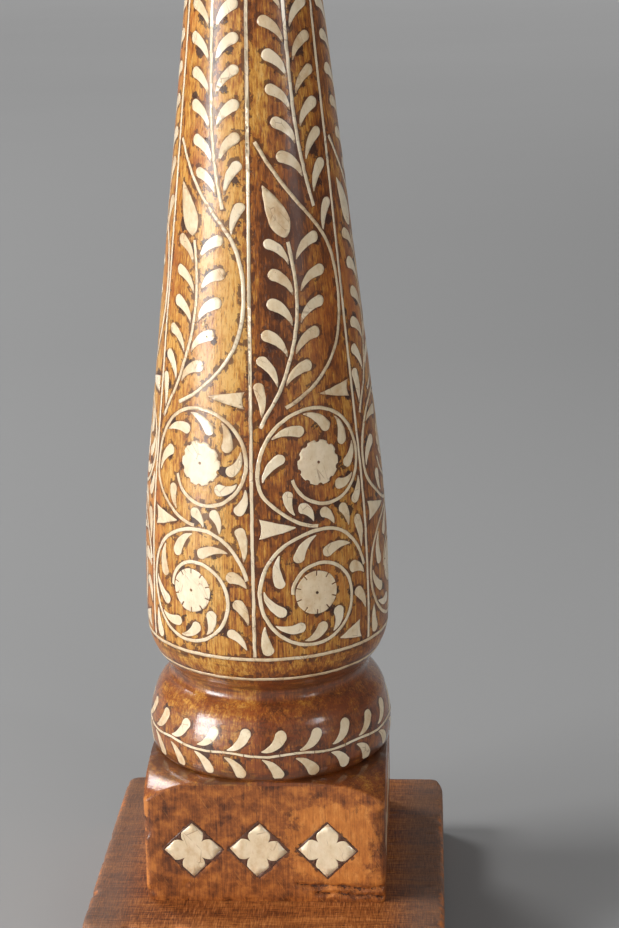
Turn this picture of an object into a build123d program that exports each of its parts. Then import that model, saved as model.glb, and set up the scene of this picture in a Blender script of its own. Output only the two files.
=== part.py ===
from build123d import *
import math
import os
import random

os.makedirs("parts", exist_ok=True)

# Everything is in millimetres. The stick stands on z = 0 with its axis on the Z axis and its
# front face towards -Y. Heights on the column are measured from its foot, on top of the board.

# Base board, its felt feet and the screws that hold the column
BOARD_SIDE = 122.0
BOARD_THICK = 20.0
BOARD_CORNER = 5.0
BOARD_TOP_EDGE = 1.8
BOARD_LOW_EDGE = 1.0
FOOT_RADIUS = 7.0
FOOT_THICK = 2.0
FOOT_PLACE = 49.0
BOARD_TOP = FOOT_THICK + BOARD_THICK
BASE_SCREW_PLACE = 26.0
BASE_SCREW_SHANK = 2.2
BASE_SCREW_HEAD = 4.4
BASE_SCREW_LENGTH = 42.0
BASE_SCREW_CLEARANCE = 2.5

# Column: square block, turned shoulder, band, neck, baluster, bead and capital
BLOCK_SIDE = 82.0
BLOCK_EDGE = 1.5
SHOULDER = ((58.5, 35.5), (52.2, 41.4), (40.2, 44.4))
UNDER_BAND = ((40.2, 44.4), (41.2, 44.9), (41.7, 46.0))
BAND = ((41.7, 46.0), (42.25, 53.5), (40.6, 62.0))
BAND_SHOULDER = ((40.6, 62.0), (38.7, 66.9), (34.9, 70.8))
NECK = ((34.9, 70.8), (34.2, 73.1), (34.9, 75.4))
BALUSTER_FOOT = ((34.9, 75.4), (38.9, 80.7), (41.6, 88.0))
BELLY = ((41.6, 88.0), (41.95, 97.0), (41.8, 106.0))
BELLY_SHOULDER = ((41.8, 106.0), (40.85, 130.5), (38.55, 155.0))
TAPER = ((38.55, 155.0), (19.9, 318.0))
TOP_NECK = ((19.9, 318.0), (19.0, 320.6), (19.6, 323.0))
BEAD = ((19.6, 323.0), (24.0, 328.5), (19.6, 334.0))
CAPITAL_COVE = ((19.6, 334.0), (21.6, 348.5), (29.4, 359.0))
CAPITAL_RIM = ((29.4, 359.0), (31.6, 364.0), (29.8, 369.0))
COLUMN_TOP = 369.0

# Brass fittings
PAN_FLOOR_RADIUS = 28.0
PAN_RIM_RADIUS = 37.0
PAN_DEPTH = 7.0
BRASS = 1.0
CUP_BORE = 11.3
CUP_WALL = 1.2
CUP_DEPTH = 26.0
CUP_FLOOR = 2.6
CUP_LIP = 2.6
CUP_SCREW_SHANK = 2.0
CUP_SCREW_HEAD = 3.9
CUP_SCREW_LENGTH = 26.0

# Bone inlay. Panels are counted from the one to the right of the front string.
PANELS = 6
PANEL_ANGLE = 360.0 / PANELS
FRONT_STRING_ANGLE = -2.0
STRING_WIDTH = 1.1
STRING_DEPTH = 0.8
PROUD = 0.1
SLIP = 0.25
STEM_WIDTH = 1.15
LOWER_RING = 80.5
UPPER_RING = 88.6
TOP_RING = 316.0
STRING_LOW = UPPER_RING + 0.8
STRING_HIGH = TOP_RING - 0.8
ROSETTE_RADIUS = 7.4
ROSETTE_DEPTH = 1.2
ROSETTE_PETALS = 10
LOWER_ROSETTE = (29.3, 110.6)
UPPER_ROSETTE = (33.4, 153.9)
LOWER_SCROLL = (29.3, 109.4)
UPPER_SCROLL = (34.4, 153.2)
VINE_HEIGHT = 54.4
VINE_WAVE = 0.4
VINE_WIDTH = 0.8
VINE_LEAVES = 22
LEAF_LENGTH = 11.2
LEAF_WIDTH = 3.7
QUATREFOIL_HALF = 9.8
QUATREFOIL_NOTCH = 2.9
POCKET_HALF = 10.7
QUATREFOIL_DEPTH = 1.5
QUATREFOIL_HEIGHT = 19.3
QUATREFOILS = ((-24.4, 1.0), (-2.0, -4.0), (21.3, -2.0))

hand = random.Random(7)


# ---- turned surfaces ------------------------------------------------------------------------

def profile_edges(rows, offset=0.0):
    """One edge for each stretch of the profile, moved out from the axis by offset."""
    edges = []
    for row in rows:
        points = [Vector(radius + offset, 0, height) for radius, height in row]
        edges.append(Edge.make_line(*points) if len(points) == 2 else Edge.make_three_point_arc(*points))
    return edges


def turned(edges, degrees=360.0):
    """The solid that a closed outline sweeps round the axis."""
    return Solid.revolve(Face(Wire(edges)), degrees, Axis.Z)


def turned_solid(rows):
    """A solid of revolution under the profile, from its first height to its last."""
    edges = profile_edges(rows)
    low = Vector(0, 0, rows[0][0][1])
    high = Vector(0, 0, rows[-1][-1][1])
    return turned([Edge.make_line(low, edges[0] @ 0), *edges, Edge.make_line(edges[-1] @ 1, high), Edge.make_line(high, low)])


def skin(rows, inside, outside, degrees=360.0):
    """A shell that follows the turned surface from inside below it to outside above it, centred
    on the front when it doesn't go all round."""
    inner = profile_edges(rows, -inside)
    outer = profile_edges(rows, outside)
    low = Edge.make_line(inner[0] @ 0, outer[0] @ 0)
    high = Edge.make_line(inner[-1] @ 1, outer[-1] @ 1)
    shell = turned([*inner, high, *outer, low], degrees)
    return shell if degrees == 360.0 else shell.rotate(Axis.Z, -90.0 - degrees / 2)


def radius_on(row, height):
    """Radius of one stretch of the profile at a height."""
    if len(row) == 2:
        (r0, z0), (r1, z1) = row
        return r0 + (r1 - r0) * (height - z0) / (z1 - z0)
    (r0, z0), (rm, zm), (r1, z1) = row
    bend = 2 * (r0 * (zm - z1) + rm * (z1 - z0) + r1 * (z0 - zm))
    q0, qm, q1 = r0 * r0 + z0 * z0, rm * rm + zm * zm, r1 * r1 + z1 * z1
    centre_r = (q0 * (zm - z1) + qm * (z1 - z0) + q1 * (z0 - zm)) / bend
    centre_z = (q0 * (r1 - rm) + qm * (r0 - r1) + q1 * (rm - r0)) / bend
    reach = math.sqrt(max(math.hypot(r0 - centre_r, z0 - centre_z) ** 2 - (height - centre_z) ** 2, 0.0))
    return centre_r + reach if rm > centre_r else centre_r - reach


def radius_at(height):
    """Radius of the decorated part of the column at a height."""
    for row in (BAND, BAND_SHOULDER, NECK, BALUSTER_FOOT, BELLY, BELLY_SHOULDER):
        if height <= row[-1][1]:
            return radius_on(row, height)
    return radius_on(TAPER, height)


# ---- bone pieces on a curved surface --------------------------------------------------------

def seen(angle, height):
    """A point of the surface, angle degrees right of the front, as it is seen from the front."""
    return Vector(radius_at(height) * math.sin(math.radians(angle)), 0, height)


def moved(spot, along, up):
    """A spot (angle, height) moved by millimetres round the surface and upwards."""
    angle, height = spot
    return angle + math.degrees(along / radius_at(height)), height + up


def cut_from(shell, edges):
    """The slip of the shell inside an outline that is drawn as seen from the front."""
    slips = shell & Solid.extrude(Face(Wire(edges)), Vector(0, -70, 0))
    return slips.solids()[0]


def curved_outline(tail, heading, length, bend):
    """A function that gives points beside a centre line, which starts at tail and turns by bend."""
    start = heading - bend / 2

    def point(share, side):
        chord = math.radians(start + bend * share / 2)
        across = math.radians(start + bend * share + 90)
        along = length * share * math.cos(chord) + side * math.cos(across)
        up = length * share * math.sin(chord) + side * math.sin(across)
        return seen(*moved(tail, along, up))

    return point


def comma_leaf(shell, tail, heading, length=LEAF_LENGTH, width=LEAF_WIDTH, bend=45.0):
    """A leaf with a thin tail and a round head, fuller on the outside of its bend."""
    point = curved_outline(tail, heading, length, bend)
    half = width / 2
    neck = 1 - 1.1 * half / length
    fullness = (0.55, 0.95) if bend > 0 else (0.95, 0.55)
    left, right = point(neck, half), point(neck, -half)
    return cut_from(shell, [
        Edge.make_three_point_arc(point(0, 0.15), point(0.48, fullness[0] * half), left),
        Edge.make_three_point_arc(left, point(1, 0), right),
        Edge.make_three_point_arc(right, point(0.48, -fullness[1] * half), point(0, -0.15)),
        Edge.make_line(point(0, -0.15), point(0, 0.15)),
    ])


def fan_leaf(shell, tail, heading, length, width):
    """A three-cornered leaf with a slightly hollow end."""
    point = curved_outline(tail, heading, length, 0.0)
    half = width / 2
    left, right = point(1, half), point(1, -half)
    return cut_from(shell, [
        Edge.make_three_point_arc(point(0, 0.15), point(0.55, 0.62 * half), left),
        Edge.make_three_point_arc(left, point(0.94, 0), right),
        Edge.make_three_point_arc(right, point(0.55, -0.62 * half), point(0, -0.15)),
        Edge.make_line(point(0, -0.15), point(0, 0.15)),
    ])


def bud(shell, tail, heading, length, width):
    """A pointed bud, widest below its middle."""
    point = curved_outline(tail, heading, length, 12.0)
    half = width / 2
    left, right = point(0.36, half), point(0.36, -half)
    return cut_from(shell, [
        Edge.make_three_point_arc(point(0, 0.5), point(0.14, 0.78 * half), left),
        Edge.make_three_point_arc(left, point(0.72, 0.62 * half), point(1, 0.12)),
        Edge.make_line(point(1, 0.12), point(1, -0.12)),
        Edge.make_three_point_arc(point(1, -0.12), point(0.72, -0.62 * half), right),
        Edge.make_three_point_arc(right, point(0.14, -0.78 * half), point(0, -0.5)),
        Edge.make_line(point(0, -0.5), point(0, 0.5)),
    ])


def strip(shell, spots, width=STEM_WIDTH):
    """A narrow strip of bone along a curve through spots."""
    middle = [seen(angle, height) for angle, height in spots]
    sides = ([], [])
    for index, here in enumerate(middle):
        ahead = middle[min(index + 1, len(middle) - 1)] - middle[max(index - 1, 0)]
        across = Vector(-ahead.Z, 0, ahead.X).normalized() * (width / 2)
        sides[0].append(here + across)
        sides[1].append(here - across)
    left, right = Edge.make_spline(sides[0]), Edge.make_spline(sides[1])
    ends = [Edge.make_line(left @ 0, right @ 0), Edge.make_line(left @ 1, right @ 1)]
    return cut_from(shell, [left, ends[0], right, ends[1]])


def by_hand(value, spread):
    """A size as a carver makes it, within spread of the intended one."""
    return value + hand.uniform(-spread, spread)


# ---- one panel of the baluster, between two strings -----------------------------------------

def panel_spot(angle, height):
    """A spot given by its angle from the panel's left string, counted from the panel's middle."""
    return angle - PANEL_ANGLE / 2, height


def spiral_spot(centre, radius, turn):
    """A spot at a radius in millimetres and a direction in degrees round a scroll's centre."""
    around = math.radians(turn)
    return moved(panel_spot(*centre), radius * math.cos(around), radius * math.sin(around))


def lower_spiral_radius(turn):
    """Distance of the lower scroll's stem from its centre, up to 530 degrees."""
    return min(22.0 - 2.75 * (turn - 90) / 90, 22.2)


def upper_spiral_radius(turn):
    """Distance of the upper scroll's stem from its centre, from 202 degrees down to -175."""
    return 21.2 - 2.75 * (180 - turn) / 90


def lower_scroll_stem(shell):
    """The stem that leaves the right string, rises over the lower scroll and winds into it."""
    rise = [panel_spot(57.4, 116.0), panel_spot(54.0, 122.3), panel_spot(47.0, 128.4), panel_spot(38.5, 131.5)]
    coil = [spiral_spot(LOWER_SCROLL, lower_spiral_radius(turn), turn) for turn in range(98, 531, 24)]
    return strip(shell, rise + coil)


def upper_scroll_stem(shell):
    """The stem that leaves the lower scroll, climbs the left side and winds into the upper one."""
    rise = [panel_spot(31.0, 133.1), panel_spot(22.6, 134.5), panel_spot(13.8, 138.4)]
    coil = [spiral_spot(UPPER_SCROLL, upper_spiral_radius(turn), turn) for turn in range(202, -176, -24)]
    return strip(shell, rise + coil)


def scroll_leaves(shell, centre, radius, first, step, count):
    """Leaves on the inner side of a scroll's stem, curled the way that it winds."""
    way = math.copysign(1, step)
    leaves = []
    for index in range(count):
        turn = first + step * index
        tail = spiral_spot(centre, radius(turn) - 1.3, turn)
        length = by_hand(min(LEAF_LENGTH, 0.6 * (radius(turn) - 1.3)), 0.2)
        leaves.append(comma_leaf(shell, tail, turn + way * by_hand(142, 2), length, by_hand(LEAF_WIDTH, 0.2), way * 40))
    return leaves


def filler_leaves(shell, crowded):
    """Leaves in the corners of the panel, between its two scrolls and where the upper one begins.
    Every other panel is crowded: it has one more leaf over the lower scroll, and a fan in its lower right corner."""
    push = 3.6 if crowded else 0.0
    leaves = [
        comma_leaf(shell, spiral_spot(UPPER_SCROLL, 18.6, 238), by_hand(105, 2), 8.4, 3.4, -30),
        comma_leaf(shell, panel_spot(36.0 + push, 133.0), by_hand(131, 2), 7.2, 3.7, 22),
        comma_leaf(shell, panel_spot(44.6 + push, 131.2), by_hand(108, 2), 8.2, 3.5, 20),
        comma_leaf(shell, panel_spot(56.2, 122.4), by_hand(98, 1), 11.4, 3.6, 12),
        comma_leaf(shell, panel_spot(57.4, 146.4), by_hand(-111, 2), 9.0, 3.6, -24),
        comma_leaf(shell, panel_spot(57.2, 113.4), by_hand(150, 3), 8.0, 4.2, 24),
        comma_leaf(shell, panel_spot(57.6, 100.8), by_hand(118, 2), 9.2, 3.8, 16),
        fan_leaf(shell, panel_spot(20.0, 133.4), by_hand(182, 2), 12.0, 6.6),
        fan_leaf(shell, panel_spot(37.4, 176.0), by_hand(-2, 2), 12.4, 5.6),
        comma_leaf(shell, panel_spot(4.8, 100.2), by_hand(-84, 1), 10.2, 3.8, 8),
    ]
    if crowded:
        leaves.append(comma_leaf(shell, panel_spot(29.0, 135.0), by_hand(127, 2), 7.4, 3.9, 16))
        leaves.append(fan_leaf(shell, panel_spot(41.0, 93.0), by_hand(6, 2), 9.6, 6.6))
    else:
        leaves.append(comma_leaf(shell, panel_spot(56.6, 92.0), by_hand(134, 2), 9.0, 3.4, 20))
    return leaves


LOWER_SPRIG = ((4.6, 166.4), (9.0, 171.6), (14.6, 177.4), (19.4, 184.6), (23.4, 192.0), (26.2, 200.0), (27.2, 208.0),
               (26.2, 216.5), (23.6, 225.4))
UPPER_SPRIG = ((43.4, 235.8), (40.2, 242.4), (36.6, 251.6), (34.0, 261.6), (32.4, 274.0), (31.2, 288.0), (30.4, 303.0))
SIDE_CURVE = ((17.8, 172.6), (28.5, 176.4), (40.0, 182.4), (50.0, 190.4), (55.6, 199.6), (56.9, 209.6), (55.0, 218.6),
              (49.6, 226.0), (40.0, 232.6), (26.0, 241.0), (13.5, 249.8), (4.4, 257.0))


def stem_angle(spots, height):
    """Angle of a rising stem at a height."""
    for (a0, z0), (a1, z1) in zip(spots, spots[1:]):
        if height <= z1:
            return a0 + (a1 - a0) * (height - z0) / (z1 - z0)
    return spots[-1][0]


def sprig_leaves(shell, stem, first, step, count, side):
    """Leaves up one side of a sprig, as far out as the room beside it lets them be."""
    leaves = []
    for index in range(count):
        height = first + step * index
        angle = stem_angle(stem, height) + side * math.degrees((1.45 + 0.25 * side) / radius_at(height))
        edge = PANEL_ANGLE if side > 0 else 0.0
        room = abs(edge - angle) * math.radians(radius_at(height + 6)) - 2.5
        length = by_hand(LEAF_LENGTH, 0.4)
        lean = min(by_hand(50 + 3 * side, 3), math.degrees(math.asin(min(room / length, 1.0))))
        heading = 90 - side * lean
        bend = -side * min(52, lean)
        leaves.append(comma_leaf(shell, panel_spot(angle, height), heading, length, by_hand(LEAF_WIDTH, 0.3), bend))
    return leaves


def rosette_blank(shell, centre):
    """The round blank that fills a rosette's pocket."""
    middle = seen(*panel_spot(*centre))
    blank = Solid.make_cylinder(ROSETTE_RADIUS, 70, Plane(origin=middle, z_dir=(0, -1, 0)))
    return (shell & blank).solids()[0]


def rosette(blank, centre, slit, scallop):
    """A rosette with its centre drilled. Its petals are marked round its rim by slits of a
    length, by scallops of a radius, or both."""
    middle = seen(*panel_spot(*centre))
    tools = [Solid.make_cylinder(0.5, 70, Plane(origin=middle, z_dir=(0, -1, 0)))]
    for index in range(ROSETTE_PETALS):
        turn = 360 * (index + 0.5) / ROSETTE_PETALS
        if slit:
            saw = Solid.make_box(slit, 70, 0.4).moved(Location((ROSETTE_RADIUS - slit, -70, -0.2)))
            tools.append(saw.rotate(Axis.Y, turn).moved(Location(middle)))
        if scallop:
            around = math.radians(turn)
            place = middle + Vector(math.cos(around), 0, math.sin(around)) * (ROSETTE_RADIUS + 0.3)
            tools.append(Solid.make_cylinder(scallop, 70, Plane(origin=place, z_dir=(0, -1, 0))))
    return blank.cut(*tools).solids()[0]


# ---- parts ----------------------------------------------------------------------------------

def on_board(shape):
    """A shape of the column's own frame, at its place on the board."""
    return shape.moved(Location((0, 0, BOARD_TOP)))


def write(name, solids):
    """One STEP file for a node of one or more separate solids."""
    export_step(solids[0] if len(solids) == 1 else Compound(list(solids)), f"parts/{name}.step")


def countersunk_screw(shank, head, length):
    """A screw that points up from its head, whose face is on z = 0."""
    outline = [(0, 0), (head, 0), (head, 0.4), (shank, 0.4 + head - shank), (shank, length - 2 * shank), (0, length)]
    points = [Vector(x, 0, z) for x, z in outline]
    return turned([Edge.make_line(a, b) for a, b in zip(points, points[1:] + points[:1])])


def base_screw_places():
    return [(x, y) for x in (-BASE_SCREW_PLACE, BASE_SCREW_PLACE) for y in (-BASE_SCREW_PLACE, BASE_SCREW_PLACE)]


def base_screws():
    """Four screws up through the board into the column, their heads flush with its underside."""
    screw = countersunk_screw(BASE_SCREW_SHANK, BASE_SCREW_HEAD, BASE_SCREW_LENGTH)
    return [screw.moved(Location((x, y, FOOT_THICK))) for x, y in base_screw_places()]


def base_board():
    """The square board with rounded corners, drilled and countersunk from below."""
    middle = FOOT_THICK + BOARD_THICK / 2
    board = Solid.make_box(BOARD_SIDE, BOARD_SIDE, BOARD_THICK).moved(
        Location((-BOARD_SIDE / 2, -BOARD_SIDE / 2, FOOT_THICK)))
    board = board.fillet(BOARD_CORNER, board.edges().filter_by(Axis.Z))
    board = board.fillet(BOARD_TOP_EDGE, board.edges().filter_by(lambda e: e.center().Z > middle + BOARD_THICK / 2 - 0.01))
    board = board.fillet(BOARD_LOW_EDGE, board.edges().filter_by(lambda e: e.center().Z < FOOT_THICK + 0.01))
    holes = [Solid.make_cylinder(BASE_SCREW_CLEARANCE, 2 * BOARD_THICK).moved(Location((x, y, FOOT_THICK)))
             for x, y in base_screw_places()]
    return board.cut(*holes, *base_screws()).solids()[0]


def felt_feet():
    places = [(x, y) for x in (-FOOT_PLACE, FOOT_PLACE) for y in (-FOOT_PLACE, FOOT_PLACE)]
    return [Solid.make_cylinder(FOOT_RADIUS, FOOT_THICK).moved(Location((x, y, 0))) for x, y in places]


def plain_column():
    """The turned column before it is inlaid: a square block whose corners run out into the
    turning, and everything above it from one piece of wood."""
    half = BLOCK_SIDE / 2
    block = Solid.make_box(BLOCK_SIDE, BLOCK_SIDE, SHOULDER[-1][1]).moved(Location((-half, -half, 0)))
    block = block.fillet(BLOCK_EDGE, block.edges().filter_by(Axis.Z))
    block = block & turned_solid([((SHOULDER[0][0], 0.0), SHOULDER[0]), SHOULDER])
    turning = turned_solid([UNDER_BAND, BAND, BAND_SHOULDER, NECK, BALUSTER_FOOT, BELLY, BELLY_SHOULDER, TAPER,
                            TOP_NECK, BEAD, CAPITAL_COVE, CAPITAL_RIM])
    return block.fuse(turning).solids()[0]


def ring_string(rows, height):
    """A bone line right round the column."""
    shell = skin(rows, STRING_DEPTH, PROUD)
    slab = Solid.make_cylinder(80, STRING_WIDTH).moved(Location((0, 0, height - STRING_WIDTH / 2)))
    return (shell & slab).solids()[0]


def panel_strings():
    """The six upright bone lines between the panels."""
    shell = skin([BELLY, BELLY_SHOULDER, TAPER], STRING_DEPTH, PROUD, 20.0)
    tall = STRING_HIGH - STRING_LOW
    slab = Solid.make_box(STRING_WIDTH, 80, tall).moved(Location((-STRING_WIDTH / 2, -80, STRING_LOW)))
    string = (shell & slab).solids()[0]
    return [string.rotate(Axis.Z, FRONT_STRING_ANGLE + PANEL_ANGLE * index) for index in range(PANELS)]


def vine(shell):
    """The stem round the band, in short pieces end to end, and the leaves above and below it."""
    pitch = 360.0 / VINE_LEAVES
    stems, leaves = [], []
    for index in range(VINE_LEAVES):
        wave = VINE_WAVE if index % 2 else -VINE_WAVE
        half = pitch / 2 - 0.1
        spots = [(half * share, VINE_HEIGHT + wave * math.cos(share * math.pi / 2)) for share in (-1, -0.5, 0, 0.5, 1)]
        above = comma_leaf(shell, (by_hand(0.4, 0.8), VINE_HEIGHT + 1.4), by_hand(43, 4), by_hand(10.2, 0.5),
                           by_hand(4.0, 0.3), 50)
        below = comma_leaf(shell, (by_hand(-0.6, 0.8), VINE_HEIGHT - 1.4), by_hand(-46, 4), by_hand(9.6, 0.4),
                           by_hand(4.0, 0.3), -30)
        spin = pitch * index
        stems.append(strip(shell, spots, VINE_WIDTH).rotate(Axis.Z, spin))
        leaves += [above.rotate(Axis.Z, spin), below.rotate(Axis.Z, spin)]
    return stems, leaves


def quatrefoil_face(lean):
    """Outline of a flower with four pointed petals, turned by lean degrees."""
    notch, tip = QUATREFOIL_NOTCH, QUATREFOIL_HALF
    side = (6.3, 3.6)
    edges = []
    for quarter in range(4):
        spin = math.radians(lean - 90 * quarter)

        def spot(x, z):
            return Vector(x * math.cos(spin) - z * math.sin(spin), 0, x * math.sin(spin) + z * math.cos(spin))

        edges += [
            Edge.make_three_point_arc(spot(notch, notch), spot(4.5, 3.68), spot(*side)),
            Edge.make_line(spot(*side), spot(tip, 0)),
            Edge.make_line(spot(tip, 0), spot(side[0], -side[1])),
            Edge.make_three_point_arc(spot(side[0], -side[1]), spot(4.5, -3.68), spot(notch, -notch)),
        ]
    return Face(Wire(edges))


def diamond_face():
    corners = [Vector(POCKET_HALF, 0, 0), Vector(0, 0, POCKET_HALF), Vector(-POCKET_HALF, 0, 0), Vector(0, 0, -POCKET_HALF)]
    return Face(Wire([Edge.make_line(a, b) for a, b in zip(corners, corners[1:] + corners[:1])]))


def block_inlay(side):
    """Flowers, and the dark mastic round them, on the side of the block that is side quarter
    turns from the front."""
    inwards = Vector(0, QUATREFOIL_DEPTH, 0)
    flowers, mastics = [], []
    for place, lean in QUATREFOILS:
        spot = Location((place, -BLOCK_SIDE / 2, QUATREFOIL_HEIGHT))
        flower = Solid.extrude(quatrefoil_face(lean), inwards).moved(spot)
        pocket = Solid.extrude(diamond_face(), inwards).moved(spot)
        flowers.append(flower.rotate(Axis.Z, 90 * side))
        mastics.append(pocket.cut(flower).solids()[0].rotate(Axis.Z, 90 * side))
    return flowers, mastics


def drip_pan():
    """A spun brass pan that lies on the capital, with its rim rolled over a bead."""
    low, rise = COLUMN_TOP, COLUMN_TOP + PAN_DEPTH
    under = [Vector(CUP_SCREW_SHANK, 0, low), Vector(PAN_FLOOR_RADIUS, 0, low)]
    over = [Vector(PAN_RIM_RADIUS - BRASS, 0, rise), Vector(PAN_FLOOR_RADIUS - 1, 0, low + BRASS)]
    outside = Edge.make_three_point_arc(under[1], Vector(34.4, 0, low + 2.2), Vector(PAN_RIM_RADIUS, 0, rise))
    lip = Edge.make_three_point_arc(outside @ 1, Vector(PAN_RIM_RADIUS - BRASS / 2, 0, rise + 0.6), over[0])
    inside = Edge.make_three_point_arc(over[0], Vector(33.5, 0, low + 3.0), over[1])
    floor = Vector(CUP_SCREW_SHANK, 0, low + BRASS)
    return turned([Edge.make_line(*under), outside, lip, inside, Edge.make_line(over[1], floor),
                   Edge.make_line(floor, under[0])])


def candle_cup():
    """A brass cup for the candle, with a flared lip and a screw hole in its floor."""
    low = COLUMN_TOP + BRASS
    floor, top = low + CUP_FLOOR, low + CUP_FLOOR + CUP_DEPTH
    outer = CUP_BORE + CUP_WALL
    outline = [(CUP_SCREW_SHANK, low), (outer + 2.2, low), (outer + 2.2, low + 1.4), (outer, low + 3.4), (outer, top - 2.6),
               (outer + CUP_LIP, top - 1.0), (outer + CUP_LIP, top), (CUP_BORE, top), (CUP_BORE, floor),
               (CUP_SCREW_SHANK, floor)]
    points = [Vector(x, 0, z) for x, z in outline]
    return turned([Edge.make_line(a, b) for a, b in zip(points, points[1:] + points[:1])])


def cup_screw():
    """The screw that holds the cup and the pan down on the column."""
    screw = countersunk_screw(CUP_SCREW_SHANK, CUP_SCREW_HEAD, CUP_SCREW_LENGTH)
    return screw.rotate(Axis.X, 180).moved(Location((0, 0, COLUMN_TOP + BRASS + CUP_FLOOR)))


def build():
    panel_rows = [BELLY, BELLY_SHOULDER, TAPER]
    slips = skin(panel_rows, 0.0, SLIP, 70.0)
    sockets = skin(panel_rows, ROSETTE_DEPTH, PROUD, 40.0)
    band_slips = skin([BAND, BAND_SHOULDER], 0.0, SLIP, 50.0)
    cuts = []

    for index in range(PANELS):
        middle = FRONT_STRING_ANGLE + PANEL_ANGLE * (index + 0.5)
        crowded = index % 2 == 0
        blanks = [rosette_blank(sockets, centre) for centre in (LOWER_ROSETTE, UPPER_ROSETTE)]
        rosettes = [rosette(blanks[0], LOWER_ROSETTE, 1.6, 0.0), rosette(blanks[1], UPPER_ROSETTE, 0.0, 1.0)]
        cuts += [blank.rotate(Axis.Z, middle) for blank in blanks]
        lower = scroll_leaves(slips, LOWER_SCROLL, lower_spiral_radius, 48, 41, 7)
        upper = scroll_leaves(slips, UPPER_SCROLL, upper_spiral_radius, 193, -43, 6)
        sprigs = [strip(slips, [panel_spot(*spot) for spot in stem]) for stem in (LOWER_SPRIG, UPPER_SPRIG, SIDE_CURVE)]
        higher = 5.5 if crowded else 0.0
        lower_leaves = (sprig_leaves(slips, LOWER_SPRIG, 169.8, 9.7, 6, -1)
                        + sprig_leaves(slips, LOWER_SPRIG, 179.6, 10.0, 5, 1))
        upper_leaves = (sprig_leaves(slips, UPPER_SPRIG, 240.0 + higher, 10.4, 6, -1)
                        + sprig_leaves(slips, UPPER_SPRIG, 240.4, 10.3, 6, 1))
        extra = [comma_leaf(slips, panel_spot(49.4, 228.0), 70, 10.6, 3.6, -24)]
        buds = [bud(slips, panel_spot(22.6, 226.9), 114, 18.0, 7.0), bud(slips, panel_spot(30.3, 304.0), 90, 9.0, 4.0)]
        name = f"panel_{index + 1}"
        groups = {
            "rosettes": rosettes,
            "scroll_stems": [lower_scroll_stem(slips), upper_scroll_stem(slips)],
            "scroll_leaves": lower + upper + filler_leaves(slips, crowded),
            "sprig_stems": sprigs,
            "sprig_leaves": lower_leaves + upper_leaves + extra + buds,
        }
        for group, pieces in groups.items():
            write(f"{name}_{group}", [on_board(piece.rotate(Axis.Z, middle)) for piece in pieces])

    strings = panel_strings()
    write("panel_strings", [on_board(string) for string in strings])
    rings = [ring_string([BALUSTER_FOOT], LOWER_RING), ring_string([BELLY], UPPER_RING), ring_string([TAPER], TOP_RING)]
    for name, ring in zip(("lower_ring_string", "upper_ring_string", "top_ring_string"), rings):
        write(name, [on_board(ring)])
    stems, leaves = vine(band_slips)
    write("band_vine_stem", [on_board(stem) for stem in stems])
    write("band_vine_leaves", [on_board(leaf) for leaf in leaves])
    cuts += strings + rings

    for side, name in enumerate(("front", "right", "back", "left")):
        flowers, mastics = block_inlay(side)
        write(f"block_flowers_{name}", [on_board(flower) for flower in flowers])
        write(f"block_mastic_{name}", [on_board(mastic) for mastic in mastics])
        cuts += flowers + mastics

    write("base_board", [base_board()])
    write("felt_feet", felt_feet())
    write("base_screws", base_screws())
    write("drip_pan", [on_board(drip_pan())])
    screw = cup_screw()
    write("candle_cup", [on_board(candle_cup().cut(screw).solids()[0])])
    write("cup_screw", [on_board(screw)])
    column = on_board(plain_column().cut(*cuts, screw).solids()[0]).cut(*base_screws()).solids()[0]
    write("column", [column])


build()
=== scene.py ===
import math

import bmesh
import bpy
import numpy as np
from mathutils import Matrix, Vector
from mathutils.bvhtree import BVHTree
from mathutils.kdtree import KDTree


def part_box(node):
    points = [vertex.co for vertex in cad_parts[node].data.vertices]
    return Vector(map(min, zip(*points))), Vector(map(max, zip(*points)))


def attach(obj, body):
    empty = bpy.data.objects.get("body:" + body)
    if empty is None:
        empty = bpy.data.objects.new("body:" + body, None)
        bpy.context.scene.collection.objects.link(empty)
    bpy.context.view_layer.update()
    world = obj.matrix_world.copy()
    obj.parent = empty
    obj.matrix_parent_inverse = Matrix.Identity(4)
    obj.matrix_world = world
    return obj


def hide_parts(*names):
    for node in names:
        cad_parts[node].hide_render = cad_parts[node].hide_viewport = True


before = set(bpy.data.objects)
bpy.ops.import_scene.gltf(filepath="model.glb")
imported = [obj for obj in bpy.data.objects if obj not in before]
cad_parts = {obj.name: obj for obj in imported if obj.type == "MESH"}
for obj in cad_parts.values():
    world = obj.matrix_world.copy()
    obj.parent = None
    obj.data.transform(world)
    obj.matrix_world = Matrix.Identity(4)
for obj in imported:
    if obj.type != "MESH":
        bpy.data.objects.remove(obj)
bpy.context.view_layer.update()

# A turned candlestick with bone inlay on a square board. Lengths are in metres unless a name ends
# in _MM. The axis is the Z axis and the front faces -Y.
MM = 0.001
SEED = 41
chance = np.random.default_rng(SEED)

# Column grid: points round it, and the height of one row in each stretch, from the foot up
COLUMN_AROUND = 408
COLUMN_ROWS_MM = (
    (0.0, 36.0, 0.6), (36.0, 46.0, 0.36), (46.0, 79.0, 0.55), (79.0, 318.0, 0.8), (318.0, 369.0, 0.65),
)
BLOCK_TOP_MM = 44.4
BLOCK_SHOULDER_MM = 1.5
BLOCK_CLEAR_MM = 3.0
SKIN_MM = 0.03
RING_MARGIN_MM = 0.15
NEAR_LIMIT_MM = 4.0
POCKET_MM = 0.4
OUTSIDE = 0.2
FILLER_SPREAD = 1.7
BOARD_VOXEL_MM = 0.75
FELT_VOXEL_MM = 0.32
COLUMN_SHARP = math.radians(50)
INLAY_SHARP = math.radians(40)

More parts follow.
